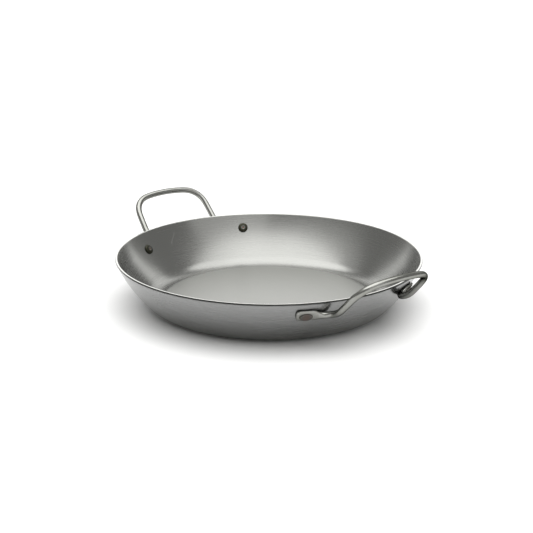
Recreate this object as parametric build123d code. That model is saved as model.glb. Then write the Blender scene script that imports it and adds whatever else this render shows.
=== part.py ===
from build123d import *
import math
import os

# Two-handled steel cooking pan: a pressed sheet-steel bowl, two bent round-bar
# handles with flattened feet, and four rivets that hold the feet to the wall.
# Millimetres, +Z up.  Origin: centre of the flat base, on the table.
# The handles stand on the X axis; "front" feet and rivets are on the -Y side.

# ---- driving dimensions: the bowl --------------------------------------------
RIM_RADIUS = 160.5          # where the outer wall meets the rim plane, before rounding
HEIGHT = 52.1               # table to rim
SHEET = 2.5                 # steel thickness
BASE_BEND_RADIUS = 26.0     # outside bend between base and wall
LOWER_WALL_SLOPE = 46.5     # wall slope where the base bend ends, degrees
WALL_ARC_RADIUS = 165.0     # outside radius of the gently dished wall
RIM_ROUNDING = 0.8          # broken edges of the cut rim

# ---- driving dimensions: the handles -----------------------------------------
ROD_DIAMETER = 6.5          # round bar
HANDLE_SLOPE = 45.8         # tilt of the handle's plane above the table, degrees
KNEE_REACH = 164.1          # X of the knee, where the leg turns to the wall
KNEE_HEIGHT = 42.2          # Z of the knee
LEG_SPLAY = 2.9             # the legs lean together towards the bar, degrees
BAR_RISE = 49.5             # knee line to the middle of the bar, along the plane
BAR_BOW_RADIUS = 160.0      # the bar bows gently outwards
CORNER_RADIUS = 22.0        # bends between bar and legs
KNEE_RADIUS = 18.0          # bend from the leg towards the wall
FOOT_RADIUS = 11.0          # bend from there along the wall

# ---- driving dimensions: the flattened feet and rivets -----------------------
PADDLE_THICKNESS = 3.0      # flattened bar
PADDLE_WIDTH = 12.8
# azimuths along the foot, counted from its rivet, in degrees
PADDLE_END = 3.6            # free end of the paddle
NECK_END = -2.8             # the flattened bar has its full width
NECK_FILL = 0.92            # share of that width that the rounded neck reaches there
NECK_START = -5.8           # the round bar begins to spread
TANGENT = -5.1              # the bar's axis becomes tangent to the wall
TANGENT_LIFT = 2.6          # the axis is this far off the wall there
FOOT_RUN = 10.9             # straight distance from the foot bend to there
PADDLE_CORNER = 4.0         # rounded corners of the free end
SHANK_DIAMETER = 6.0
INNER_HEAD_DIAMETER = 10.8
INNER_HEAD_RISE = 2.0
INNER_SHOULDER = 0.8        # share of the head's radius where its shoulder rounds over
DIMPLE_DIAMETER = 3.6       # pressed hollow in the inner head
DIMPLE_FLOOR_DIAMETER = 1.8
DIMPLE_DEPTH = 0.5
OUTER_HEAD_DIAMETER = 13.2
OUTER_HEAD_RISE = 1.3
OUTER_SHOULDER = 0.85
OUTER_CROWN_DIAMETER = 9.6  # flat hammered middle of the outer head
SHOULDER_RISE = 0.72        # share of the way from skirt to top at the shoulder
HEAD_SKIRT = 0.5            # upright edge of each head
INNER_HEAD_GAP = 0.2        # the hollow wall falls this far away under the inner head
CUTTER_REACH = 10.0         # hole and outline cutters reach this far either side of the wall

# ---- the two handles, bent and fitted by hand, so they differ a little -------
# half_span: Y of the knees.  rivet_angle: rivets either side of the handle's
# centre, degrees.  rivet_heights: Z of each rivet's axis on the outside of the wall.
HANDLES = {
    "right": {
        "azimuth": 0.8,
        "half_span": 45.1,
        "rivet_angle": 24.8,
        "rivet_heights": {"front": 38.7, "rear": 38.7},
    },
    "left": {
        "azimuth": 180.0,
        "half_span": 46.2,
        "rivet_angle": 25.5,
        "rivet_heights": {"front": 34.2, "rear": 36.9},
    },
}

# ---- the wall's section ------------------------------------------------------
slope = math.radians(LOWER_WALL_SLOPE)
bend_rise = BASE_BEND_RADIUS * (1 - math.cos(slope))
rim_slope = math.acos(math.cos(slope) - (HEIGHT - bend_rise) / WALL_ARC_RADIUS)
wall_run = WALL_ARC_RADIUS * (math.sin(rim_slope) - math.sin(slope))
BASE_RADIUS = RIM_RADIUS - wall_run - BASE_BEND_RADIUS * math.sin(slope)
# centre of the wall's arc, in the (radius, z) half plane
ARC_R = BASE_RADIUS + (BASE_BEND_RADIUS - WALL_ARC_RADIUS) * math.sin(slope)
ARC_Z = bend_rise + WALL_ARC_RADIUS * math.cos(slope)


def wall_point(z, lift):
    """(radius, z) of the point lifted off the outer wall from height z, along the normal."""
    steep = math.acos((ARC_Z - z) / WALL_ARC_RADIUS)
    reach = WALL_ARC_RADIUS + lift
    return ARC_R + reach * math.sin(steep), ARC_Z - reach * math.cos(steep)


def section_at(lift, z_top):
    """Edge chain of the bowl's section at a normal offset, from the axis out to height z_top."""
    bend = BASE_BEND_RADIUS + lift
    dish = WALL_ARC_RADIUS + lift
    top = math.acos((ARC_Z - z_top) / dish)
    middle = (slope + top) / 2

    def on_bend(angle):
        return BASE_RADIUS + bend * math.sin(angle), BASE_BEND_RADIUS - bend * math.cos(angle)

    def on_dish(angle):
        return ARC_R + dish * math.sin(angle), ARC_Z - dish * math.cos(angle)

    floor = Line((0, -lift), (BASE_RADIUS, -lift))
    corner = ThreePointArc(on_bend(0), on_bend(slope / 2), on_bend(slope))
    wall = ThreePointArc(on_dish(slope), on_dish(middle), on_dish(top))
    return [floor, corner, wall]


def revolved(edges):
    """Revolve a closed (radius, z) outline about the Z axis."""
    face = Plane.XZ * make_face(edges)
    return revolve(face, Axis.Z, 360)


def make_bowl():
    """Sheet-steel bowl with a flat base, a dished wall and a rounded cut rim."""
    outer = section_at(0, HEIGHT)
    inner = section_at(-SHEET, HEIGHT)
    rim = Line(outer[-1] @ 1, inner[-1] @ 1)
    axis = Line((0, SHEET), (0, 0))
    bowl = revolved(outer + inner + [rim, axis])
    circles = bowl.edges().filter_by(GeomType.CIRCLE)
    rim_edges = circles.group_by(Axis.Z)[-1]
    return fillet(rim_edges, RIM_ROUNDING)


def make_outside():
    """Everything inside the bowl's outer surface, as one solid, to trim the handles."""
    outer = section_at(0, HEIGHT)
    lid = Line(outer[-1] @ 1, (0, HEIGHT))
    axis = Line((0, HEIGHT), (0, 0))
    return revolved(outer + [lid, axis])


def wall_frame(azimuth, height, lift=0.0):
    """Plane lying on the outer wall, or lifted off it: Z outwards, X along the rim."""
    angle = math.radians(azimuth)
    radius, level = wall_point(height, lift)
    steep = math.acos((ARC_Z - height) / WALL_ARC_RADIUS)
    out = Vector(math.cos(angle), math.sin(angle), 0)
    origin = out * radius + Vector(0, 0, level)
    normal = out * math.sin(steep) - Vector(0, 0, math.cos(steep))
    along = Vector(-math.sin(angle), math.cos(angle), 0)
    return Plane(origin=origin, x_dir=along, z_dir=normal)


# ---- the handle's centreline -------------------------------------------------
def plane_point(y, rise):
    """Point of the handle's sloping plane: y across, rise up the slope from the knees."""
    tilt = math.radians(HANDLE_SLOPE)
    return Vector(KNEE_REACH + rise * math.cos(tilt), y, KNEE_HEIGHT + rise * math.sin(tilt))


def arc_at(before, corner, after, radius):
    """Tangent arc that rounds a corner, and its two ends."""
    back = (before - corner).normalized()
    ahead = (after - corner).normalized()
    half = math.radians(back.get_angle(ahead)) / 2
    reach = radius / math.tan(half)
    start, end = corner + back * reach, corner + ahead * reach
    bisector = (back + ahead).normalized()
    middle = corner + bisector * (radius / math.sin(half) - radius)
    return ThreePointArc(start, middle, end), start, end


def centreline_half(half_span, rivet_angle, foot_height):
    """Edges from the middle of the bar down the +Y leg and round to its foot."""
    splay = math.radians(LEG_SPLAY)
    up = (-math.sin(splay), math.cos(splay))
    inward = (-math.cos(splay), -math.sin(splay))
    bow_rise = BAR_RISE - BAR_BOW_RADIUS
    # the corner's centre is CORNER_RADIUS inside the leg and inside the bowed bar
    base_y = half_span + inward[0] * CORNER_RADIUS
    base_rise = inward[1] * CORNER_RADIUS - bow_rise
    along = base_y * up[0] + base_rise * up[1]
    gap = base_y ** 2 + base_rise ** 2 - (BAR_BOW_RADIUS - CORNER_RADIUS) ** 2
    travel = -along + math.sqrt(along ** 2 - gap)
    centre_y = base_y + up[0] * travel
    centre_rise = base_rise + up[1] * travel + bow_rise
    bow_angle = math.atan2(centre_y, centre_rise - bow_rise)
    leg_angle = math.atan2(-inward[0], -inward[1])

    def on_bow(angle):
        rise = bow_rise + BAR_BOW_RADIUS * math.cos(angle)
        return plane_point(BAR_BOW_RADIUS * math.sin(angle), rise)

    def on_corner(angle):
        rise = centre_rise + CORNER_RADIUS * math.cos(angle)
        return plane_point(centre_y + CORNER_RADIUS * math.sin(angle), rise)

    bar = ThreePointArc(on_bow(0), on_bow(bow_angle / 2), on_bow(bow_angle))
    middle_angle = (bow_angle + leg_angle) / 2
    corner = ThreePointArc(on_corner(bow_angle), on_corner(middle_angle), on_corner(leg_angle))
    leg_top = on_corner(leg_angle)
    knee = plane_point(half_span, 0)
    tangent = wall_frame(rivet_angle + TANGENT, foot_height, TANGENT_LIFT)
    foot = tangent.origin - tangent.x_dir * FOOT_RUN
    knee_arc, knee_start, knee_end = arc_at(leg_top, knee, foot, KNEE_RADIUS)
    foot_arc, foot_start, foot_end = arc_at(knee, foot, tangent.origin, FOOT_RADIUS)
    leg = Line(leg_top, knee_start)
    link = Line(knee_end, foot_start)
    return [bar, corner, leg, knee_arc, link, foot_arc], foot_end, tangent


def make_paddle(rivet_angle, foot_height):
    """Flattened end, lying on the wall: it spreads from the bar's width to the full width."""
    frame = wall_frame(rivet_angle + (NECK_END + PADDLE_END) / 2, foot_height)
    radius = wall_point(foot_height, 0)[0]
    half_length = radius * math.radians(PADDLE_END - NECK_END) / 2
    neck_length = radius * math.radians(NECK_END - NECK_START)
    blade = fillet(Rectangle(2 * half_length, PADDLE_WIDTH).vertices(), PADDLE_CORNER)
    neck = Pos(-half_length - neck_length, 0) * Circle(ROD_DIAMETER / 2)
    outline = make_hull(blade.edges() + neck.edges())
    block = extrude(frame * outline, CUTTER_REACH, both=True)
    return make_sheet_band(foot_height) & block


def make_sheet_band(foot_height):
    """Ring PADDLE_THICKNESS thick that lies on the outside of the wall."""
    low, high = foot_height - PADDLE_WIDTH, min(foot_height + PADDLE_WIDTH, HEIGHT - RIM_ROUNDING)
    inner = [wall_point(level, 0) for level in (low, foot_height, high)]
    outer = [wall_point(level, PADDLE_THICKNESS) for level in (high, foot_height, low)]
    edges = [
        ThreePointArc(*inner),
        Line(inner[2], outer[0]),
        ThreePointArc(*outer),
        Line(outer[2], inner[0]),
    ]
    return revolved(edges)


def make_neck(start, tangent, rivet_angle, foot_height):
    """The bar squeezed from round to flat between the foot bend and the paddle."""
    section = Plane(origin=start, x_dir=tangent.z_dir, z_dir=tangent.x_dir) * Circle(ROD_DIAMETER / 2)
    flat_frame = wall_frame(rivet_angle + NECK_END, foot_height, PADDLE_THICKNESS / 2)
    flat_plane = Plane(origin=flat_frame.origin, x_dir=flat_frame.z_dir, z_dir=flat_frame.x_dir)
    flat = flat_plane * Ellipse(PADDLE_THICKNESS / 2, PADDLE_WIDTH / 2 * NECK_FILL)
    return loft([section, flat])


def make_shank_hole(azimuth, foot_height):
    """Cylinder along the rivet's axis, through the wall and the paddle."""
    shank = wall_frame(azimuth, foot_height) * Circle(SHANK_DIAMETER / 2)
    return extrude(shank, CUTTER_REACH, both=True)


def make_half_handle(outside, half_span, rivet_angle, foot_height):
    """The +Y half of a handle on the +X side: half the bar, a leg and a drilled foot."""
    edges, foot_end, tangent = centreline_half(half_span, rivet_angle, foot_height)
    path = Wire(edges)
    start = Plane(origin=path @ 0, z_dir=path % 0)
    rod = sweep(start * Circle(ROD_DIAMETER / 2), path=path, transition=Transition.ROUND)
    half = rod + make_neck(foot_end, tangent, rivet_angle, foot_height)
    half = half - outside
    half = half + make_paddle(rivet_angle, foot_height)
    return half - make_shank_hole(rivet_angle, foot_height)


def make_handle(outside, side):
    """Bowed bar, two legs and two flattened, drilled feet, turned to its side of the pan."""
    handle = HANDLES[side]
    heights = handle["rivet_heights"]
    # turned half round, the left handle's +Y foot becomes the front one
    plus_y, minus_y = ("rear", "front") if side == "right" else ("front", "rear")
    shape = (handle["half_span"], handle["rivet_angle"])
    plus_half = make_half_handle(outside, *shape, heights[plus_y])
    minus_half = make_half_handle(outside, *shape, heights[minus_y]).mirror(Plane.XZ)
    return Rot(0, 0, handle["azimuth"]) * (plus_half + minus_half)


def make_rivet(azimuth, foot_height):
    """Solid rivet: dimpled head inside the bowl, shank, broad low head on the paddle."""
    # the flat inner head bears on the hollow wall at its edge, the outer one on the paddle's crown
    inner_seat, outer_seat = -SHEET - INNER_HEAD_GAP, PADDLE_THICKNESS
    inner_top = inner_seat - INNER_HEAD_RISE
    outer_top = outer_seat + OUTER_HEAD_RISE
    inner_edge, outer_edge = INNER_HEAD_DIAMETER / 2, OUTER_HEAD_DIAMETER / 2
    shank = SHANK_DIAMETER / 2
    dimple = DIMPLE_DIAMETER / 2
    dimple_flat = DIMPLE_FLOOR_DIAMETER / 2
    crown = OUTER_CROWN_DIAMETER / 2
    dimple_floor = inner_top + DIMPLE_DEPTH
    inner_skirt = inner_seat - HEAD_SKIRT
    outer_skirt = outer_seat + HEAD_SKIRT
    inner_rise = inner_skirt + (inner_top - inner_skirt) * SHOULDER_RISE
    outer_rise = outer_skirt + (outer_top - outer_skirt) * SHOULDER_RISE
    inner_shoulder = (inner_edge * INNER_SHOULDER, inner_rise)
    outer_shoulder = (outer_edge * OUTER_SHOULDER, outer_rise)
    outline = [
        Line((0, dimple_floor), (dimple_flat, dimple_floor)),
        Line((dimple_flat, dimple_floor), (dimple, inner_top)),
        ThreePointArc((dimple, inner_top), inner_shoulder, (inner_edge, inner_skirt)),
        Line((inner_edge, inner_skirt), (inner_edge, inner_seat)),
        Line((inner_edge, inner_seat), (shank, inner_seat)),
        Line((shank, inner_seat), (shank, outer_seat)),
        Line((shank, outer_seat), (outer_edge, outer_seat)),
        Line((outer_edge, outer_seat), (outer_edge, outer_skirt)),
        ThreePointArc((outer_edge, outer_skirt), outer_shoulder, (crown, outer_top)),
        Line((crown, outer_top), (0, outer_top)),
        Line((0, outer_top), (0, dimple_floor)),
    ]
    return wall_frame(azimuth, foot_height).location * revolved(outline)


def foot_azimuth(side, foot):
    """Azimuth of a rivet: the front feet are on the -Y side of the pan, the rear on +Y."""
    turn = 1.0 if (side == "right") == (foot == "rear") else -1.0
    return HANDLES[side]["azimuth"] + turn * HANDLES[side]["rivet_angle"]


os.makedirs("parts", exist_ok=True)
outside_solid = make_outside()
bowl_body = make_bowl()
for side, handle in HANDLES.items():
    export_step(make_handle(outside_solid, side), f"parts/{side}_handle.step")
    for foot, foot_height in handle["rivet_heights"].items():
        azimuth = foot_azimuth(side, foot)
        bowl_body = bowl_body - make_shank_hole(azimuth, foot_height)
        export_step(make_rivet(azimuth, foot_height), f"parts/{side}_handle_{foot}_rivet.step")
export_step(bowl_body, "parts/pan_body.step")
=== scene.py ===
"""Two-handled steel cooking pan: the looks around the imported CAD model.

The bowl, the handles and the rivets are built again as fine meshes from the CAD's dimensions,
which are repeated below in millimetres, and get procedural steel finishes. The meshes differ from
the CAD where the look asks for it: a lip at the rim, smoothed bends and longer necks on the
handles, oval outer rivet heads, and no drilled holes. Tones and lights are fitted, not measured.
"""
import bpy
import bmesh
import math
from mathutils import Matrix, Vector, noise


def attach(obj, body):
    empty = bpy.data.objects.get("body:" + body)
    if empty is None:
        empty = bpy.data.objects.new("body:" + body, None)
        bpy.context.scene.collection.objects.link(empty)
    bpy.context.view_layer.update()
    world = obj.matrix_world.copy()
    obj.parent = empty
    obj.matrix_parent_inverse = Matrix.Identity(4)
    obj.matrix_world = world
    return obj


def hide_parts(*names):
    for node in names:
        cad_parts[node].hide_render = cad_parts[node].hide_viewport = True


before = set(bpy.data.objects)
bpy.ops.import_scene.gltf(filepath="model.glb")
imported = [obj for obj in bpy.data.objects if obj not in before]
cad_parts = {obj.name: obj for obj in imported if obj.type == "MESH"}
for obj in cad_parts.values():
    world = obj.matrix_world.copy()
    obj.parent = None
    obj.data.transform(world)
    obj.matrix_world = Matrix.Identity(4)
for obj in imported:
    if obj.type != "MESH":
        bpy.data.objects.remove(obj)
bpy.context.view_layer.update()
MM = 0.001

# ---- the bowl, mm: the same values as the CAD ---------------------------------
RIM_RADIUS = 160.5
HEIGHT = 52.1
SHEET = 2.5
BASE_BEND_RADIUS = 26.0
LOWER_WALL_SLOPE = 46.5
WALL_ARC_RADIUS = 165.0

# ---- the bowl's mesh and finish, mm and degrees: not in the CAD ----------------
LATHE_SEGMENTS = 360
LIP_HEIGHT = 1.5            # a lip round the outside of the cut rim
LIP_REACH = 160.0           # its largest radius, 0.04 inside the CAD's rounded rim
LIP_LEAN = 0.5              # it leans in by this much at the top
LIP_BEVEL = 0.05            # the lip's lower corner is cut back by this much,
LIP_BEVEL_LOW, LIP_BEVEL_HIGH = 0.06, 0.16      # between these heights above its foot
RIM_CORNER = 0.12           # broken corners of the cut
CORNER_CUT = 0.3            # share of it left at the corner's middle point
CREASE_SHARE = 0.14         # lowest part of the inner bend, which has its own finish
# painted shade on the outer wall, mm above the base: full at the first height, gone at the second
BASE_SHADE_LOW, BASE_SHADE_HIGH = 0.0, 34.0
SCORE_AZIMUTH = 7.2         # a scratch: degrees past the left handle's middle at its top
SCORE_DRIFT = 3.7           # and how much further round it ends
SCORE_TOP, SCORE_FOOT = 43.9, 31.2
SCORE_TOP_FADE, SCORE_FOOT_FADE = 2, 3
SCORE_EDGE, SCORE_CORE = 0.9, 0.2       # half widths: all of it, and its brightest part
SCORE_STRENGTH = 0.75
SCORE_BRIGHTNESS = 1.7      # against the steel beside it
WALL_RIPPLE = 0.035         # unevenness of the sheet
RIPPLE_LENGTH = 38.0
RIPPLE_FADE = 20.0          # it sets in over this distance from the flat base

# ---- the handles, mm and degrees: the same values as the CAD -------------------
ROD_DIAMETER = 6.5
HANDLE_SLOPE = 45.8
KNEE_REACH = 164.1
KNEE_HEIGHT = 42.2
LEG_SPLAY = 2.9
BAR_RISE = 49.5
BAR_BOW_RADIUS = 160.0
CORNER_RADIUS = 22.0
KNEE_RADIUS = 18.0
FOOT_RADIUS = 11.0
PADDLE_THICKNESS = 3.0
PADDLE_WIDTH = 12.8
PADDLE_END = 3.6
NECK_END = -2.8
NECK_START = -5.8
TANGENT = -5.1
TANGENT_LIFT = 2.6
FOOT_RUN = 10.9
PADDLE_CORNER = 4.0
HANDLES = {
    "right": {
        "azimuth": 0.8,
        "half_span": 45.1,
        "rivet_angle": 24.8,
        "rivet_heights": {"front": 38.7, "rear": 38.7},
    },
    "left": {
        "azimuth": 180.0,
        "half_span": 46.2,
        "rivet_angle": 25.5,
        "rivet_heights": {"front": 34.2, "rear": 36.9},
    },
}

# ---- the handles' meshes and finish, mm and degrees: not in the CAD ------------
PATH_STEP = 1.2             # along the drawn centreline
PADDLE_STEP_SHARE = 0.6     # of that step, along the paddle
RING_STEP = 0.9             # between the rings of the skin
SECTION_POINTS = 40
BEND_SMOOTHING = 28         # rounds of softening of the bends
NECK_EARLIER = 1.2          # the neck starts this much before the CAD's
NECK_LATER = 0.6            # and has its full width this much after it
FOOT_SHARE = 0.15           # of the bar's length is foot, at each end
ROUND_SECTION = 2.0         # superellipse exponents of the bar
PADDLE_SECTION = 2.8        # and of the paddle, which is boxier
END_ROUNDING = 1.0          # the paddle's free end thins out over this length
END_THINNEST = 0.04         # square of the least share of its thickness left there
BAR_DENTS, FOOT_DENTS = 0.03, 0.09                  # depth of the small dents
BAR_DENT_LENGTH, FOOT_DENT_LENGTH = 14.0, 4.0       # and their size
WALL_CLEARANCE = 0.03       # the feet stay this far off the wall
FORGED_FROM, FORGED_FULL = 0.40, 0.44   # dull ends: shares of the length from its middle
FORGED_DULLNESS = 0.16

# ---- the rivets, mm: the same values as the CAD --------------------------------
SHANK_DIAMETER = 6.0
INNER_HEAD_DIAMETER = 10.8
INNER_HEAD_RISE = 2.0
DIMPLE_DIAMETER = 3.6
DIMPLE_DEPTH = 0.5
OUTER_HEAD_DIAMETER = 13.2
OUTER_HEAD_RISE = 1.3
OUTER_CROWN_DIAMETER = 9.6
INNER_HEAD_GAP = 0.2        # the hollow wall falls this far away under the inner head

# ---- the rivets' meshes, mm: not in the CAD ------------------------------------
RIVET_SEGMENTS = 48
HEAD_SEAT = 0.12            # the inner head's underside sinks this far into the wall
HEAD_UNDERCUT = 0.1         # both undersides are this much smaller; the outer one sinks as far
INNER_DOME_FOOT = 0.45      # the inner dome starts this far off the wall
OUTER_DOME_FOOT = 0.35      # and the outer one this far off the paddle
DOME_FULLNESS = 0.8         # below 1 the inner dome is fuller than an ellipse
HEAD_OVAL = 0.68            # the outer heads' height along the wall, as a share of the CAD's
HEAD_DROP = 0.5             # they also lie this much nearer the base; the point on the axis
                            # stays, so about 0.03 mm2 of each crown folds over (a known fault)
HEAD_DENTS = ((2.4, 0.10), (0.9, 0.03))     # size and depth of the dents
INNER_RUST = (0.14, 0.06, 0.025, 1)
OUTER_RUST = (0.105, 0.082, 0.070, 1)

# ---- the steel's texture --------------------------------------------------------
GREEN_LIFT = 0.006          # the steel's green over its red
RING_SCALE, SCRATCH_SCALE = 420.0, 150.0        # noise per metre across the turned rings
HEIGHT_SHARE = 0.9          # of the height, added to the radius to count the rings

# ---- the studio, metres and degrees --------------------------------------------
# studio axes: x to the camera's right, y away from the camera, z up
STUDIO_TURN = 52.9          # the studio stands at this turn to the object's own axes
CAMERA_DISTANCE = 1.3416
CAMERA_HEIGHT = 0.4662
CAMERA_YAW = -0.106
CAMERA_PITCH = 17.689
CAMERA_ROLL = 0.3185
CAMERA_LENS = 90.72
CAMERA_SENSOR = 36.0
FLOOR_RADIUS = 14.0
FLOOR_GAP = 0.0002          # the floor lies this far under the pan

# ---- the wall's section ---------------------------------------------------------
slope = math.radians(LOWER_WALL_SLOPE)
bend_rise = BASE_BEND_RADIUS * (1 - math.cos(slope))
rim_slope = math.acos(math.cos(slope) - (HEIGHT - bend_rise) / WALL_ARC_RADIUS)
wall_run = WALL_ARC_RADIUS * (math.sin(rim_slope) - math.sin(slope))
BASE_RADIUS = RIM_RADIUS - wall_run - BASE_BEND_RADIUS * math.sin(slope)
ARC_R = BASE_RADIUS + (BASE_BEND_RADIUS - WALL_ARC_RADIUS) * math.sin(slope)
ARC_Z = bend_rise + WALL_ARC_RADIUS * math.cos(slope)


def mix(a, b, t):
    return a + (b - a) * t


def smooth(t):
    t = min(max(t, 0.0), 1.0)
    return t * t * (3 - 2 * t)


def wall_steepness(z):
    return math.acos((ARC_Z - z) / WALL_ARC_RADIUS)


def wall_frame(azimuth, height, lift=0.0):
    """Point lifted off the outer wall, the wall's normal, and the direction along the rim."""
    angle = math.radians(azimuth)
    steep = wall_steepness(height)
    out = Vector((math.cos(angle), math.sin(angle), 0))
    up = Vector((0, 0, 1))
    normal = out * math.sin(steep) - up * math.cos(steep)
    origin = out * (ARC_R + WALL_ARC_RADIUS * math.sin(steep)) + up * height
    along = Vector((-math.sin(angle), math.cos(angle), 0))
    return origin + normal * lift, normal, along


# ================================================================ mesh helpers
def object_from(name, verts, faces, uvs, material_of_face=None):
    """Smooth-shaded object from vertices in millimetres."""
    mesh = bpy.data.meshes.new(name)
    mesh.from_pydata([Vector(v) * MM for v in verts], [], faces)
    layer = mesh.uv_layers.new(name="UVMap")
    for loop in mesh.loops:
        layer.data[loop.index].uv = uvs[loop.vertex_index]
    if material_of_face:
        mesh.polygons.foreach_set("material_index", material_of_face)
    mesh.polygons.foreach_set("use_smooth", [True] * len(mesh.polygons))
    shape = bmesh.new()
    shape.from_mesh(mesh)
    bmesh.ops.recalc_face_normals(shape, faces=shape.faces)
    shape.to_mesh(mesh)
    shape.free()
    obj = bpy.data.objects.new(name, mesh)
    bpy.context.scene.collection.objects.link(obj)
    return obj


def lathe(name, profile, segments, ripple):
    """Turn a (radius, z, material) profile, from axis to axis, about Z.

    ripple gives each point's offset, but the points on the axis itself stay.
    """
    verts, rings, uvs = [], [], []
    travelled = 0.0
    for i, (radius, z, _) in enumerate(profile):
        if i:
            travelled += math.hypot(radius - profile[i - 1][0], z - profile[i - 1][1])
        if radius < 1e-6:
            rings.append([len(verts)] * segments)
            verts.append(Vector((0, 0, z)))
            uvs.append((0.5, travelled * MM))
            continue
        rings.append(list(range(len(verts), len(verts) + segments)))
        for k in range(segments):
            angle = 2 * math.pi * k / segments
            point = Vector((radius * math.cos(angle), radius * math.sin(angle), z))
            verts.append(point + ripple(point))
            uvs.append((k / segments, travelled * MM))
    faces, materials = [], []
    for i in range(len(rings) - 1):
        low, high = rings[i], rings[i + 1]
        for k in range(segments):
            n = (k + 1) % segments
            corners = [low[k], low[n], high[n], high[k]]
            faces.append(list(dict.fromkeys(corners)))
            materials.append(profile[i][2])
    return object_from(name, verts, faces, uvs, materials)


def tube(name, rings, uvs):
    """Closed skin over rings of points, with one flat face over each end."""
    verts = [p for ring in rings for p in ring]
    count = len(rings[0])
    faces = []
    for i in range(len(rings) - 1):
        for k in range(count):
            n = (k + 1) % count
            faces.append([i * count + k, i * count + n, (i + 1) * count + n, (i + 1) * count + k])
    faces.append(list(range(count)))
    faces.append(list(range(len(verts) - count, len(verts))))
    return object_from(name, verts, faces, uvs)


# ================================================================ node helpers
class Nodes:
    """A material's node tree, with short names for the nodes used here."""

    def __init__(self, name):
        self.material = bpy.data.materials.new(name)
        self.material.use_nodes = True
        self.tree = self.material.node_tree
        self.shader = self.tree.nodes["Principled BSDF"]
        self.shader.inputs["Metallic"].default_value = 1.0
        self.coordinates = self.tree.nodes.new("ShaderNodeTexCoord")

    def link(self, value, socket):
        if isinstance(value, bpy.types.NodeSocket):
            self.tree.links.new(value, socket)
        else:
            socket.default_value = value

    def math(self, operation, *values, clamp=False):
        node = self.tree.nodes.new("ShaderNodeMath")
        node.operation = operation
        node.use_clamp = clamp
        for value, socket in zip(values, node.inputs):
            self.link(value, socket)
        return node.outputs[0]

    def vector(self, x, y, z):
        node = self.tree.nodes.new("ShaderNodeCombineXYZ")
        for value, socket in zip((x, y, z), node.inputs):
            self.link(value, socket)
        return node.outputs[0]

    def split(self, vector):
        node = self.tree.nodes.new("ShaderNodeSeparateXYZ")
        self.link(vector, node.inputs[0])
        return node.outputs

    def noise(self, vector, scale, detail=3.0, roughness=0.55, distortion=0.0):
        node = self.tree.nodes.new("ShaderNodeTexNoise")
        self.link(vector, node.inputs["Vector"])
        node.inputs["Scale"].default_value = scale
        node.inputs["Detail"].default_value = detail
        node.inputs["Roughness"].default_value = roughness
        node.inputs["Distortion"].default_value = distortion
        return node.outputs["Fac"]

    def ranged(self, value, low, high, to_low=0.0, to_high=1.0):
        node = self.tree.nodes.new("ShaderNodeMapRange")
        node.interpolation_type = "SMOOTHSTEP"
        for number, socket in zip((value, low, high, to_low, to_high), node.inputs):
            self.link(number, socket)
        return node.outputs[0]

    def blend(self, factor, first, second):
        node = self.tree.nodes.new("ShaderNodeMix")
        node.data_type = "RGBA"
        self.link(factor, node.inputs[0])
        self.link(first, node.inputs[6])
        self.link(second, node.inputs[7])
        return node.outputs[2]

    def bump(self, height, strength, distance, normal=None):
        node = self.tree.nodes.new("ShaderNodeBump")
        node.inputs["Strength"].default_value = strength
        node.inputs["Distance"].default_value = distance
        self.link(height, node.inputs["Height"])
        if normal is not None:
            self.link(normal, node.inputs["Normal"])
        return node.outputs[0]

    def finish(self, colour, roughness, normal=None):
        self.link(colour, self.shader.inputs["Base Color"])
        self.link(roughness, self.shader.inputs["Roughness"])
        if normal is not None:
            self.link(normal, self.shader.inputs["Normal"])
        return self.material


def grey(value, warmth=0.0):
    """A metal's colour: warmth takes a share of the blue away."""
    return (value, value * (1 + GREEN_LIFT), value * (1 - warmth), 1.0)


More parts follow.
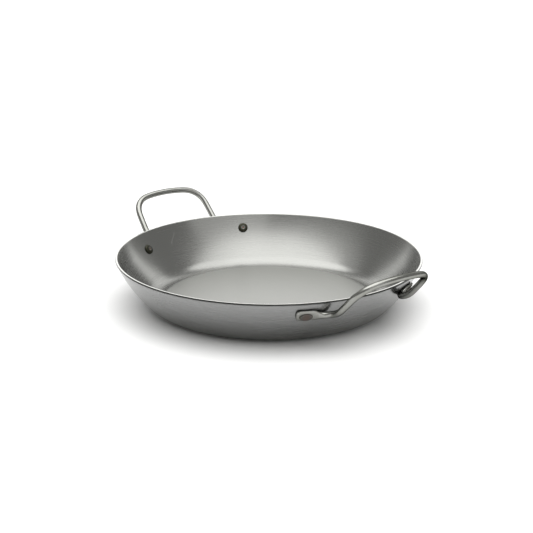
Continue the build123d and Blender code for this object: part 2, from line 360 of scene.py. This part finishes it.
# ================================================================ materials
def turned_steel(name, tone, roughness, anisotropy, line_depth,
                 warmth=0.035, scored=False, painted_base_shade=1.0):
    """Sheet steel finished on a lathe: fine rings, faint mottling, hairline scratches."""
    m = Nodes(name)
    place = m.coordinates.outputs["Object"]
    x, y, z = m.split(place)
    radius = m.math("SQRT", m.math("ADD", m.math("MULTIPLY", x, x), m.math("MULTIPLY", y, y)))
    safe = m.math("MAXIMUM", radius, 0.002)
    # round the pan the rings run on, so the noise changes slowly that way
    around_x = m.math("DIVIDE", x, safe)
    around_y = m.math("DIVIDE", y, safe)
    across = m.math("ADD", radius, m.math("MULTIPLY", z, HEIGHT_SHARE))
    ring_place = m.vector(m.math("MULTIPLY", across, RING_SCALE), around_x, around_y)
    fine_rings = m.noise(ring_place, 3.2, detail=4.0, roughness=0.7)
    broad_rings = m.noise(ring_place, 0.32, detail=3.0, roughness=0.6)
    scratch_place = m.vector(m.math("MULTIPLY", across, SCRATCH_SCALE), around_x, around_y)
    scratches = m.ranged(m.noise(scratch_place, 5.0, detail=2.0, distortion=0.25), 0.70, 0.78)
    mottle = m.noise(place, 26.0, detail=5.0, roughness=0.6)
    cloud = m.noise(place, 9.0, detail=2.0)
    mottling = m.ranged(mottle, 0.3, 0.7, -0.018, 0.018)
    tone_shift = m.math("ADD", mottling, m.ranged(broad_rings, 0.3, 0.7, -0.02, 0.02))
    share = m.math("ADD", tone_shift, 0.5, clamp=True)
    bright = m.blend(share, grey(tone * 0.93, warmth + 0.01), grey(tone * 1.07, warmth))
    scratch_colour = grey(min(tone * 1.35, 0.95), warmth)
    colour = m.blend(m.math("MULTIPLY", scratches, 0.10), bright, scratch_colour)
    if painted_base_shade < 1:
        # painted shade: the outer wall darkens towards the base, fitted to the look;
        # darker towards the base: fitted to the look, its cause is not known
        painted_shade_colour = grey(tone * painted_base_shade, warmth + 0.04)
        colour = m.blend(m.ranged(z, BASE_SHADE_LOW * MM, BASE_SHADE_HIGH * MM), painted_shade_colour, colour)
    if scored:
        # one long scratch runs down the inside of the wall beside the left handle
        angle = m.math("ARCTAN2", m.math("MULTIPLY", y, -1.0), m.math("MULTIPLY", x, -1.0))
        drop = m.ranged(z, SCORE_TOP * MM, SCORE_FOOT * MM)
        drift = m.math("MULTIPLY", drop, math.radians(SCORE_DRIFT))
        middle = m.math("ADD", math.radians(SCORE_AZIMUTH), drift)
        aside = m.math("MULTIPLY", m.math("ABSOLUTE", m.math("SUBTRACT", angle, middle)), radius)
        line = m.ranged(aside, SCORE_EDGE * MM, SCORE_CORE * MM)
        foot = m.ranged(z, SCORE_FOOT * MM, (SCORE_FOOT + SCORE_FOOT_FADE) * MM)
        top = m.ranged(z, SCORE_TOP * MM, (SCORE_TOP - SCORE_TOP_FADE) * MM)
        ends = m.math("MULTIPLY", foot, top)
        score = m.math("MULTIPLY", m.math("MULTIPLY", line, ends), SCORE_STRENGTH)
        colour = m.blend(score, colour, grey(tone * SCORE_BRIGHTNESS, warmth))
    rough = m.ranged(fine_rings, 0.25, 0.75, roughness - 0.03, roughness + 0.03)
    rough = m.math("ADD", rough, m.ranged(cloud, 0.3, 0.7, -0.02, 0.02))
    normal = m.bump(fine_rings, line_depth, 0.00004)
    normal = m.bump(scratches, 0.12, 0.00003, normal)
    if anisotropy:
        tangent = m.tree.nodes.new("ShaderNodeTangent")
        tangent.direction_type = "RADIAL"
        tangent.axis = "Z"
        m.link(tangent.outputs[0], m.shader.inputs["Tangent"])
        m.shader.inputs["Anisotropic"].default_value = anisotropy
        m.shader.inputs["Anisotropic Rotation"].default_value = 0.25
    return m.finish(colour, rough, normal)


def drawn_steel(name, tone, roughness, warmth=0.05):
    """Round bar, polished along its length, with lengthwise lines and small handling marks."""
    m = Nodes(name)
    place = m.coordinates.outputs["Object"]
    u, v, _ = m.split(m.coordinates.outputs["UV"])
    line_place = m.vector(m.math("MULTIPLY", u, 40.0), m.math("MULTIPLY", v, 60.0), 0.0)
    lines = m.noise(line_place, 2.5, detail=4.0, roughness=0.7)
    mottle = m.noise(place, 90.0, detail=4.0)
    marks = m.ranged(m.noise(place, 420.0, detail=2.0), 0.66, 0.74)
    darker, lighter = grey(tone * 0.93, warmth + 0.02), grey(tone * 1.05, warmth)
    colour = m.blend(m.ranged(mottle, 0.3, 0.7), darker, lighter)
    colour = m.blend(m.math("MULTIPLY", marks, 0.25), colour, grey(tone * 0.6, warmth + 0.05))
    rough = m.ranged(lines, 0.3, 0.7, roughness - 0.04, roughness + 0.05)
    rough = m.math("ADD", rough, m.math("MULTIPLY", marks, 0.1))
    # the flattened feet are duller than the bar
    from_middle = m.math("ABSOLUTE", m.math("SUBTRACT", v, 0.5))
    forged = m.ranged(from_middle, FORGED_FROM, FORGED_FULL)
    rough = m.math("ADD", rough, m.math("MULTIPLY", forged, FORGED_DULLNESS))
    normal = m.bump(lines, 0.25, 0.00003)
    normal = m.bump(mottle, 0.25, 0.00012, normal)
    m.shader.inputs["Specular Tint"].default_value = (0.03, 0.03, 0.03, 1.0)
    return m.finish(colour, rough, normal)


def oxidised_steel(name, ring_dark, centre, ring_start, ring_end, rust, rust_radius):
    """Rivet head: steel in the middle, oxide towards its edge and a spot of rust."""
    m = Nodes(name)
    place = m.coordinates.outputs["Object"]
    x, y, _ = m.split(place)
    wander = m.math("MULTIPLY", m.math("SUBTRACT", m.noise(place, 900.0, detail=3.0), 0.5), 0.0022)
    radius = m.math("SQRT", m.math("ADD", m.math("MULTIPLY", x, x), m.math("MULTIPLY", y, y)))
    edge = m.math("ADD", radius, wander)
    grain = m.noise(place, 1600.0, detail=4.0, roughness=0.7)
    steel = m.blend(m.ranged(grain, 0.3, 0.7), grey(centre * 0.8, 0.08), grey(centre * 1.15, 0.05))
    dark_oxide, light_oxide = grey(ring_dark * 0.7, 0.2), grey(ring_dark * 1.5, 0.4)
    oxide = m.blend(m.ranged(grain, 0.35, 0.65), dark_oxide, light_oxide)
    colour = m.blend(m.ranged(edge, ring_start * MM, ring_end * MM), steel, oxide)
    rust_mask = m.ranged(edge, rust_radius * MM, rust_radius * 0.35 * MM)
    colour = m.blend(rust_mask, colour, rust)
    rough = m.ranged(grain, 0.3, 0.7, 0.34, 0.52)
    rough = m.math("ADD", rough, m.math("MULTIPLY", rust_mask, 0.15))
    normal = m.bump(grain, 0.45, 0.00010)
    m.shader.inputs["Metallic"].default_value = 0.85
    return m.finish(colour, rough, normal)


# ================================================================ the bowl
def rippled(point):
    """Offset for the sheet's slight unevenness, which the flat base doesn't have."""
    radius = math.hypot(point.x, point.y)
    if radius < BASE_RADIUS:
        return Vector((0, 0, 0))
    grip = smooth((radius - BASE_RADIUS) / RIPPLE_FADE)
    wave = noise.noise(Vector((point.x, point.y, point.z)) / RIPPLE_LENGTH)
    return Vector((point.x, point.y, 0)).normalized() * (wave * WALL_RIPPLE * grip)


BASE, OUTSIDE, EDGE, RIM, INSIDE, CREASE, FLOOR = range(7)


def bowl_profile():
    """Section of the bowl from the axis under the base, over the rim, to the axis on the floor."""
    def on_bend(angle, lift):
        bend = BASE_BEND_RADIUS + lift
        return BASE_RADIUS + bend * math.sin(angle), BASE_BEND_RADIUS - bend * math.cos(angle)

    def on_dish(angle, lift):
        dish = WALL_ARC_RADIUS + lift
        return ARC_R + dish * math.sin(angle), ARC_Z - dish * math.cos(angle)

    def slope_at(z, lift):
        return math.acos((ARC_Z - z) / (WALL_ARC_RADIUS + lift))

    bend_steps, dish_steps, flat_steps = 20, 44, 26
    points = []
    for i in range(flat_steps):
        points.append((BASE_RADIUS * i / flat_steps, 0.0, BASE))
    for i in range(bend_steps):
        points.append((*on_bend(slope * i / bend_steps, 0), OUTSIDE))
    lip_slope = slope_at(HEIGHT - LIP_HEIGHT, 0)
    for i in range(dish_steps):
        points.append((*on_dish(mix(slope, lip_slope, i / dish_steps), 0), OUTSIDE))
    under_lip, _ = on_dish(lip_slope, 0)
    rim_inner, _ = on_dish(slope_at(HEIGHT, -SHEET), -SHEET)
    # the lip leans in a little, then come a tight corner, the flat cut and the inner corner
    points += [
        (under_lip, HEIGHT - LIP_HEIGHT, EDGE),
        (LIP_REACH - LIP_BEVEL, HEIGHT - LIP_HEIGHT + LIP_BEVEL_LOW, EDGE),
        (LIP_REACH, HEIGHT - LIP_HEIGHT + LIP_BEVEL_HIGH, EDGE),
        (LIP_REACH - LIP_LEAN, HEIGHT - RIM_CORNER, EDGE),
        (LIP_REACH - LIP_LEAN - RIM_CORNER * CORNER_CUT, HEIGHT - RIM_CORNER * CORNER_CUT, RIM),
        (LIP_REACH - LIP_LEAN - RIM_CORNER, HEIGHT, RIM),
        (rim_inner + RIM_CORNER, HEIGHT, RIM),
        (rim_inner + RIM_CORNER * CORNER_CUT, HEIGHT - RIM_CORNER * CORNER_CUT, RIM),
    ]
    top_slope = slope_at(HEIGHT - RIM_CORNER, -SHEET)
    for i in range(dish_steps):
        points.append((*on_dish(mix(top_slope, slope, i / dish_steps), -SHEET), INSIDE))
    for i in range(bend_steps):
        left = 1 - i / bend_steps
        points.append((*on_bend(slope * left, -SHEET), CREASE if left <= CREASE_SHARE else INSIDE))
    for i in range(flat_steps + 1):
        points.append((BASE_RADIUS * (1 - i / flat_steps), SHEET, FLOOR))
    return points


def make_bowl():
    bowl = lathe("spun_bowl", bowl_profile(), LATHE_SEGMENTS, rippled)
    # tone, roughness, anisotropy, strength of the turned lines. The zones are one steel, but their
    # tones are fitted to the look, so part of the light and shade is painted into them.
    finishes = [
        turned_steel("base_steel", 0.40, 0.42, 0.4, 0.3),
        # the outer wall's colour darkens towards the base: painted shade
        turned_steel("outer_wall_steel", 0.30, 0.25, 0.5, 0.2, warmth=-0.004, painted_base_shade=0.66),
        # near black, so the lip shows as a dark line round the rim
        turned_steel("cut_edge_steel", 0.05, 0.22, 0.0, 0.1),
        turned_steel("rim_steel", 0.62, 0.14, 0.0, 0.1),
        turned_steel("inner_wall_steel", 0.285, 0.26, 0.7, 0.10, scored=True),
        turned_steel("crease_steel", 0.33, 0.30, 0.0, 0.2),
        turned_steel("floor_steel", 0.36, 0.42, 0.0, 0.25),
    ]
    for material in finishes:
        bowl.data.materials.append(material)
    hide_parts("pan_body")
    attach(bowl, "root")


# ================================================================ the handles
def plane_point(y, rise):
    """Point of the handle's sloping plane: y across, rise up the slope from the knees."""
    tilt = math.radians(HANDLE_SLOPE)
    return Vector((KNEE_REACH + rise * math.cos(tilt), y, KNEE_HEIGHT + rise * math.sin(tilt)))


def arc_points(before, corner, after, radius, step):
    """Points on the tangent arc that rounds a corner."""
    back = (before - corner).normalized()
    ahead = (after - corner).normalized()
    half = back.angle(ahead) / 2
    reach = radius / math.tan(half)
    centre = corner + (back + ahead).normalized() * (radius / math.sin(half))
    first = corner + back * reach - centre
    last = corner + ahead * reach - centre
    turn = first.angle(last)
    count = max(3, round(radius * turn / step))
    return [centre + first.slerp(last, i / count).normalized() * radius for i in range(count + 1)]


def line_points(start, end, step):
    count = max(1, round((end - start).length / step))
    return [start.lerp(end, i / count) for i in range(1, count)]


def half_centreline(half_span, rivet_angle, foot_height, step):
    """Points from the middle of the bar down the +Y leg, round the foot and along the wall."""
    splay = math.radians(LEG_SPLAY)
    up = (-math.sin(splay), math.cos(splay))
    inward = (-math.cos(splay), -math.sin(splay))
    bow_rise = BAR_RISE - BAR_BOW_RADIUS
    base_y = half_span + inward[0] * CORNER_RADIUS
    base_rise = inward[1] * CORNER_RADIUS - bow_rise
    along = base_y * up[0] + base_rise * up[1]
    gap = base_y ** 2 + base_rise ** 2 - (BAR_BOW_RADIUS - CORNER_RADIUS) ** 2
    travel = -along + math.sqrt(along ** 2 - gap)
    centre_y = base_y + up[0] * travel
    centre_rise = base_rise + up[1] * travel + bow_rise
    bow_angle = math.atan2(centre_y, centre_rise - bow_rise)
    leg_angle = math.atan2(-inward[0], -inward[1])

    points = []
    count = round(BAR_BOW_RADIUS * bow_angle / step)
    for i in range(count):
        angle = bow_angle * i / count
        rise = bow_rise + BAR_BOW_RADIUS * math.cos(angle)
        points.append(plane_point(BAR_BOW_RADIUS * math.sin(angle), rise))
    count = round(CORNER_RADIUS * (leg_angle - bow_angle) / step)
    for i in range(count + 1):
        angle = mix(bow_angle, leg_angle, i / count)
        rise = centre_rise + CORNER_RADIUS * math.cos(angle)
        points.append(plane_point(centre_y + CORNER_RADIUS * math.sin(angle), rise))
    knee = plane_point(half_span, 0)
    tangent, _, rimwards = wall_frame(rivet_angle + TANGENT, foot_height, TANGENT_LIFT)
    foot = tangent - rimwards * FOOT_RUN
    knee_arc = arc_points(points[-1], knee, foot, KNEE_RADIUS, step)
    foot_arc = arc_points(knee, foot, tangent, FOOT_RADIUS, step)
    points += line_points(points[-1], knee_arc[0], step) + knee_arc
    points += line_points(knee_arc[-1], foot_arc[0], step) + foot_arc
    points += line_points(foot_arc[-1], tangent, step)
    # from here the bar lies along the wall and sinks to half the paddle's thickness
    foot_reach = wall_frame(0, foot_height)[0].x
    count = round(foot_reach * math.radians(PADDLE_END - TANGENT) / (step * PADDLE_STEP_SHARE))
    for i in range(count + 1):
        azimuth = mix(TANGENT, PADDLE_END, i / count)
        sunk = smooth((azimuth - TANGENT) / (NECK_END - TANGENT))
        lift = mix(TANGENT_LIFT, PADDLE_THICKNESS / 2, sunk)
        points.append(wall_frame(rivet_angle + azimuth, foot_height, lift)[0])
    return points


def relaxed(points, rounds):
    """Soften the small kinks where straight and curved runs meet; the ends stay."""
    for _ in range(rounds):
        middle = [(a + b * 2 + c) / 4 for a, b, c in zip(points, points[1:], points[2:])]
        points = [points[0]] + middle + [points[-1]]
    return points


def lifted_clear(point):
    """Keep a point just outside the bowl's outer wall."""
    radius = math.hypot(point.x, point.y)
    distance = math.hypot(radius - ARC_R, ARC_Z - point.z)
    if point.z > HEIGHT or point.z < bend_rise or distance >= WALL_ARC_RADIUS + WALL_CLEARANCE:
        return point
    scale = (WALL_ARC_RADIUS + WALL_CLEARANCE) / distance
    new_radius = ARC_R + (radius - ARC_R) * scale
    level = ARC_Z - (ARC_Z - point.z) * scale
    return Vector((point.x * new_radius / radius, point.y * new_radius / radius, level))


def section_points(centre, width_dir, thick_dir, half_width, half_thickness, squareness, count):
    """Superellipse ring: squareness 2 is round, more is boxier."""
    ring = []
    for k in range(count):
        angle = 2 * math.pi * k / count
        c, s = math.cos(angle), math.sin(angle)
        across = math.copysign(abs(c) ** (2 / squareness), c) * half_width
        through = math.copysign(abs(s) ** (2 / squareness), s) * half_thickness
        ring.append(centre + width_dir * across + thick_dir * through)
    return ring


def even_path(points, step):
    """The same polyline with evenly spaced points."""
    total = sum((b - a).length for a, b in zip(points, points[1:]))
    count = round(total / step)
    spacing = total / count
    result, carried = [points[0].copy()], 0.0
    for a, b in zip(points, points[1:]):
        length = (b - a).length
        while length > 0 and carried + length >= spacing * len(result) and len(result) < count:
            share = (spacing * len(result) - carried) / length
            result.append(a.lerp(b, share))
        carried += length
    result.append(points[-1].copy())
    return result


def carried_normals(tangents, first):
    """Normals carried along the path without twisting about it."""
    normal = (first - tangents[0] * first.dot(tangents[0])).normalized()
    normals = [normal]
    for a, b in zip(tangents, tangents[1:]):
        normal = a.rotation_difference(b) @ normal
        normal = (normal - b * normal.dot(b)).normalized()
        normals.append(normal)
    return normals


def signed_angle(a, b, axis):
    return math.atan2(axis.dot(a.cross(b)), a.dot(b))


def make_handle(side, material):
    """One bent bar: bowed grip, two legs, and feet forged flat along the wall."""
    handle = HANDLES[side]
    heights = handle["rivet_heights"]
    plus_y, minus_y = ("rear", "front") if side == "right" else ("front", "rear")
    span, rivet_angle = handle["half_span"], handle["rivet_angle"]
    plus = half_centreline(span, rivet_angle, heights[plus_y], PATH_STEP)
    minus = half_centreline(span, rivet_angle, heights[minus_y], PATH_STEP)
    minus = [Vector((p.x, -p.y, p.z)) for p in minus]
    path = relaxed(list(reversed(minus))[:-1] + plus, BEND_SMOOTHING)
    path = even_path(path, RING_STEP)
    tangents = [(b - a).normalized() for a, b in zip([path[0]] + path[:-1], path[1:] + [path[-1]])]

    first_normal = wall_frame(-rivet_angle - PADDLE_END, heights[minus_y])[1]
    last_normal = wall_frame(rivet_angle + PADDLE_END, heights[plus_y])[1]
    normals = carried_normals(tangents, first_normal)
    facing = last_normal - tangents[-1] * last_normal.dot(tangents[-1])
    twist = signed_angle(normals[-1], facing.normalized(), tangents[-1])
    lengths = [0.0]
    for a, b in zip(path, path[1:]):
        lengths.append(lengths[-1] + (b - a).length)
    total = lengths[-1]
    foot_length = total * FOOT_SHARE
    neck_start, neck_end = NECK_START - NECK_EARLIER, NECK_END + NECK_LATER

    rings, uvs = [], []
    for i, (centre, tangent) in enumerate(zip(path, tangents)):
        share = smooth((lengths[i] - foot_length) / (total - 2 * foot_length))
        thick_dir = Matrix.Rotation(twist * share, 3, tangent) @ normals[i]
        width_dir = tangent.cross(thick_dir).normalized()
        azimuth = math.degrees(math.atan2(abs(centre.y), centre.x)) - rivet_angle
        near_end = min(lengths[i], total - lengths[i])
        in_foot = near_end < foot_length
        flat = smooth((azimuth - neck_start) / (neck_end - neck_start)) if in_foot else 0.0
        half_width = mix(ROD_DIAMETER / 2, PADDLE_WIDTH / 2, flat)
        half_thickness = mix(ROD_DIAMETER / 2, PADDLE_THICKNESS / 2, flat)
        if near_end < PADDLE_CORNER:
            corner = math.sqrt(PADDLE_CORNER ** 2 - (PADDLE_CORNER - near_end) ** 2)
            half_width = half_width - PADDLE_CORNER + corner
        if near_end < END_ROUNDING:
            half_thickness *= math.sqrt(max(1 - (1 - near_end / END_ROUNDING) ** 2, END_THINNEST))
        squareness = mix(ROUND_SECTION, PADDLE_SECTION, flat)
        half_sizes = (half_width, half_thickness)
        ring = section_points(centre, width_dir, thick_dir, *half_sizes, squareness, SECTION_POINTS)
        uneven = mix(BAR_DENTS, FOOT_DENTS, flat)
        waves = mix(BAR_DENT_LENGTH, FOOT_DENT_LENGTH, flat)
        for k, point in enumerate(ring):
            away = (point - centre).normalized()
            dent = noise.noise(point / waves) * uneven
            ring[k] = lifted_clear(point + away * dent)
            uvs.append((k / SECTION_POINTS, lengths[i] / total))
        rings.append(ring)
    obj = tube(f"{side}_handle_bar", rings, uvs)
    obj.data.transform(Matrix.Rotation(math.radians(handle["azimuth"]), 4, "Z"))
    obj.data.materials.append(material)
    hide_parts(f"{side}_handle")
    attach(obj, "root")


# ================================================================ the rivets
def rivet_profile():
    """Section of a set rivet on its own axis: z = 0 on the outer wall, outside upwards."""
    inner_seat = -SHEET
    inner_top = inner_seat - INNER_HEAD_GAP - INNER_HEAD_RISE
    outer_seat = PADDLE_THICKNESS
    outer_top = outer_seat + OUTER_HEAD_RISE
    inner_edge, outer_edge = INNER_HEAD_DIAMETER / 2, OUTER_HEAD_DIAMETER / 2
    shank, dimple, crown = SHANK_DIAMETER / 2, DIMPLE_DIAMETER / 2, OUTER_CROWN_DIAMETER / 2
    points = [(0.0, inner_top + DIMPLE_DEPTH, 0)]
    # the inner head: a dimple, a low dome round it and a rolled edge
    for i in range(1, 9):
        share = i / 8
        points.append((dimple * share, inner_top + DIMPLE_DEPTH * (1 - smooth(share)), 0))
    for i in range(1, 13):
        angle = math.pi / 2 * i / 12
        reach = mix(dimple, inner_edge, math.sin(angle))
        level = mix(inner_seat - INNER_DOME_FOOT, inner_top, math.cos(angle) ** DOME_FULLNESS)
        points.append((reach, level, 0))
    points += [
        (inner_edge, inner_seat - INNER_HEAD_GAP, 0),
        (inner_edge - HEAD_UNDERCUT, inner_seat + HEAD_SEAT, 0),
        (shank, inner_seat + HEAD_SEAT, 0),
        (shank, 0.0, 1),
        (shank, outer_seat - HEAD_UNDERCUT, 1),
        (outer_edge - HEAD_UNDERCUT, outer_seat - HEAD_UNDERCUT, 1),
    ]
    # the outer head: broad and low, flat in the middle
    for i in range(0, 13):
        angle = math.pi / 2 * (1 - i / 12)
        reach = mix(crown, outer_edge, math.sin(angle))
        points.append((reach, mix(outer_seat + OUTER_DOME_FOOT, outer_top, math.cos(angle)), 1))
    for i in range(1, 9):
        points.append((crown * (1 - i / 8), outer_top, 1))
    return points


def hammered(seed):
    """Offsets that dent a rivet and make its outer head oval; each seed dents differently."""
    offset = Vector((seed * 17.3, seed * 5.1, 0))

    def dent(point):
        depth = sum(noise.noise(point / size + offset) * deep for size, deep in HEAD_DENTS)
        if point.z < PADDLE_THICKNESS - 2 * HEAD_UNDERCUT:
            return Vector((0, 0, depth))
        return Vector((0, point.y * (HEAD_OVAL - 1) - HEAD_DROP, depth))
    return dent


def make_rivets(inner_material, outer_material):
    profile = rivet_profile()
    seed = 0
    for side, handle in HANDLES.items():
        for foot, foot_height in handle["rivet_heights"].items():
            seed += 1
            turn = 1.0 if (side == "right") == (foot == "rear") else -1.0
            azimuth = handle["azimuth"] + turn * handle["rivet_angle"]
            origin, normal, along = wall_frame(azimuth, foot_height)
            rivet = lathe(f"{side}_{foot}_set_rivet", profile, RIVET_SEGMENTS, hammered(seed))
            upslope = normal.cross(along)
            axes = Matrix((along, upslope, normal)).transposed()
            rivet.matrix_world = Matrix.Translation(origin * MM) @ axes.to_4x4()
            rivet.data.materials.append(inner_material)
            rivet.data.materials.append(outer_material)
            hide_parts(f"{side}_handle_{foot}_rivet")
            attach(rivet, "root")


# ================================================================ the studio
STUDIO = Matrix.Rotation(math.radians(STUDIO_TURN), 4, "Z")


def add_camera():
    yaw, pitch, roll = (math.radians(a) for a in (CAMERA_YAW, CAMERA_PITCH, CAMERA_ROLL))
    level = math.cos(pitch)
    forward = Vector((math.sin(yaw) * level, math.cos(yaw) * level, -math.sin(pitch)))
    right = Vector((math.cos(yaw), -math.sin(yaw), 0))
    up = right.cross(forward)
    rolled_right = right * math.cos(roll) + up * math.sin(roll)
    rolled_up = up * math.cos(roll) - right * math.sin(roll)
    axes = Matrix((rolled_right, rolled_up, -forward)).transposed().to_4x4()
    data = bpy.data.cameras.new("camera")
    data.sensor_width = CAMERA_SENSOR
    data.lens = CAMERA_LENS
    camera = bpy.data.objects.new("camera", data)
    camera.matrix_world = STUDIO @ Matrix.Translation((0, -CAMERA_DISTANCE, CAMERA_HEIGHT)) @ axes
    bpy.context.scene.collection.objects.link(camera)
    bpy.context.scene.camera = camera


def add_softbox(name, place, target, width, length, radiance):
    """Area light whose face has the given radiance, aimed from place to target, in studio axes."""
    data = bpy.data.lights.new(name, "AREA")
    data.shape = "RECTANGLE"
    data.size, data.size_y = width, length
    data.energy = radiance * math.pi * width * length
    light = bpy.data.objects.new(name, data)
    place, target = Vector(place), Vector(target)
    aim = (target - place).to_track_quat("-Z", "Y").to_matrix().to_4x4()
    light.matrix_world = STUDIO @ Matrix.Translation(place) @ aim
    bpy.context.scene.collection.objects.link(light)


def add_sky_panel(name, strength, spread, bearing, elevation):
    """Wide soft light, the same all over the floor; its bearing counts from the camera's right."""
    data = bpy.data.lights.new(name, "SUN")
    data.energy = strength
    data.angle = math.radians(spread)
    light = bpy.data.objects.new(name, data)
    side, climb = math.radians(bearing), math.radians(elevation)
    level = math.cos(climb)
    source = Vector((math.cos(side) * level, math.sin(side) * level, math.sin(climb)))
    aim = (-source).to_track_quat("-Z", "Y").to_matrix().to_4x4()
    light.matrix_world = STUDIO @ Matrix.Translation(source * 3) @ aim
    bpy.context.scene.collection.objects.link(light)


def add_world(strength):
    world = bpy.data.worlds.new("studio")
    world.use_nodes = True
    background = world.node_tree.nodes["Background"]
    background.inputs["Color"].default_value = (1.0, 1.0, 0.985, 1.0)
    background.inputs["Strength"].default_value = strength
    bpy.context.scene.world = world


def add_floor():
    mesh = bpy.data.meshes.new("studio_floor")
    shape = bmesh.new()
    bmesh.ops.create_circle(shape, cap_ends=True, radius=FLOOR_RADIUS, segments=96)
    shape.to_mesh(mesh)
    shape.free()
    floor = bpy.data.objects.new("studio_floor", mesh)
    floor.location.z = -FLOOR_GAP
    bpy.context.scene.collection.objects.link(floor)
    m = Nodes("white_floor")
    m.shader.inputs["Metallic"].default_value = 0.0
    m.shader.inputs["Specular IOR Level"].default_value = 0.2
    mottle = m.noise(m.coordinates.outputs["Object"], 60.0)
    colour = m.blend(mottle, (0.86, 0.86, 0.855, 1), (0.88, 0.88, 0.875, 1))
    mesh.materials.append(m.finish(colour, 0.7))


bpy.context.scene.view_settings.view_transform = "Standard"
add_camera()
add_world(0.38)
add_floor()
add_sky_panel("overhead", 2.7, 79.0, 0, 90.0)
add_sky_panel("overhead_left", 0.45, 76.0, 195, 72.0)
add_sky_panel("front_fill", 0.40, 62.0, -54, 28.0)
add_softbox("back_panel", (0, 3.6, 1.7), (0, 0, 0.1), 7.0, 2.2, 1.25)

make_bowl()
bar_steel = drawn_steel("drawn_bar_steel", 0.30, 0.18)
for side in HANDLES:
    make_handle(side, bar_steel)
# oxide, centre, where the oxide starts and is full, rust, the rust's radius
inner_head = oxidised_steel("inner_rivet_steel", 0.03, 0.17, 1.6, 2.7, INNER_RUST, 1.3)
outer_head = oxidised_steel("outer_rivet_steel", 0.07, 0.10, 5.4, 6.4, OUTER_RUST, 6.2)
make_rivets(inner_head, outer_head)
